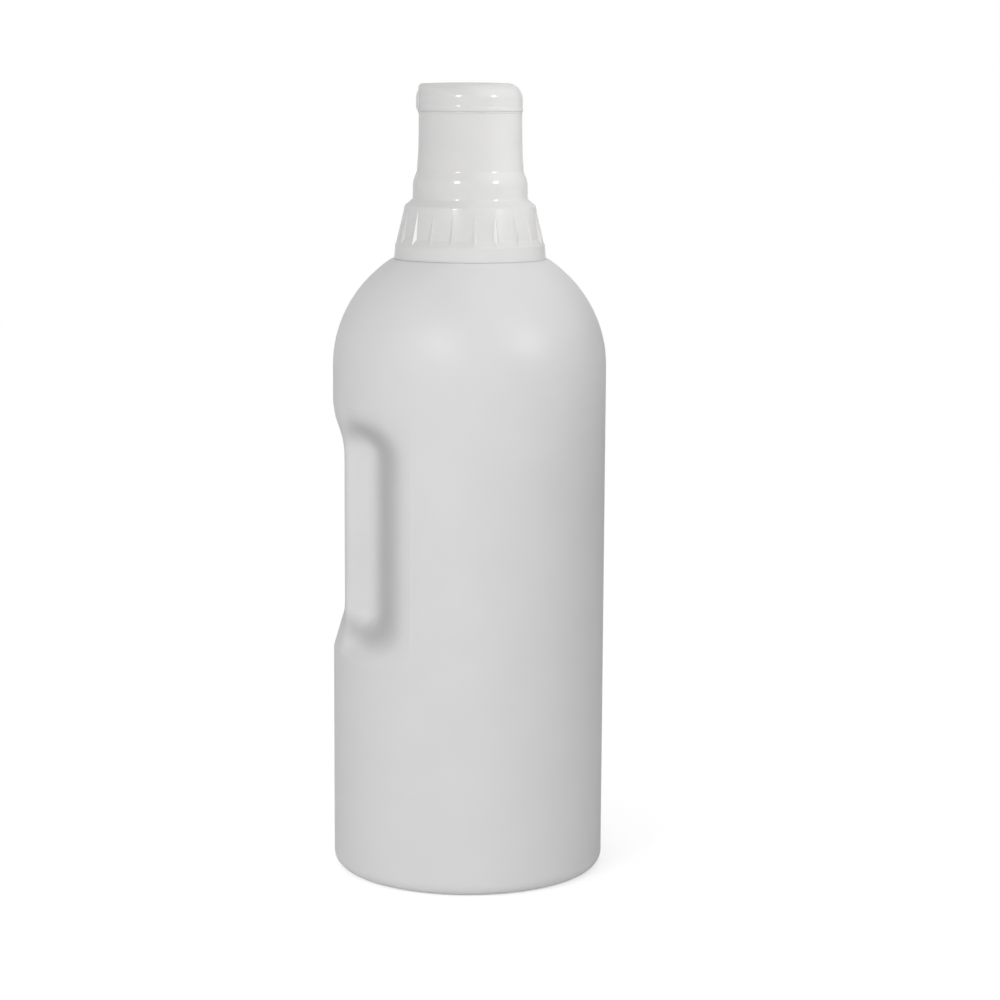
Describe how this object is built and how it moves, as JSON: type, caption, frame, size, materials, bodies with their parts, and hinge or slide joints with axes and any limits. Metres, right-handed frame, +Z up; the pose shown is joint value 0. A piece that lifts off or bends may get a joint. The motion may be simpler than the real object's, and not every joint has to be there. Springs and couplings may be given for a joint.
{
  "type": "dosing bottle",
  "caption": "Round squeeze bottle with a moulded side grip, a ribbed screw cap that holds one measured dose, a dip tube and a flip lid on a film hinge.",
  "frame": {"origin": "centre of the base, on the surface that the bottle stands on", "axes": "+Z up along the bottle's axis; the grip and the lid's hinge face -X; +Y is to the back of the view in the picture"},
  "size_m": [0.088, 0.088, 0.2546],
  "materials": {
    "bottle_plastic": "satin",
    "cap_plastic": "gloss",
    "insert_plastic": "satin",
    "seal_foam": "matte"
  },
  "bodies": {
    "bottle": {"bottle": "bottle_plastic"},
    "insert": {"dosing_insert": "insert_plastic", "dip_tube": "insert_plastic", "neck_seal": "seal_foam"},
    "cap": {"dosing_cap": "cap_plastic", "hinge_strap": "cap_plastic"},
    "lid": {"flip_lid": "cap_plastic"}
  },
  "joints": [
    {"name": "cap_lift", "type": "slide", "parent": "bottle", "child": "insert", "axis": [0, 0, 1], "range_m": [0, 0.0064]},
    {"name": "cap_turn", "type": "hinge", "parent": "insert", "child": "cap", "pos_m": [0, 0, 0.2146], "axis": [0, 0, 1], "range_deg": [0, 540]},
    {"name": "lid_flip", "type": "hinge", "parent": "cap", "child": "lid", "pos_m": [-0.0174, 0, 0.2474], "axis": [0, -1, 0], "range_deg": [0, 135], "deforming": ["hinge_strap"]}
  ],
  "couplings": [
    {"joint": "cap_lift", "follows": "cap_turn", "m_per_rad": 0.00066845}
  ]
}
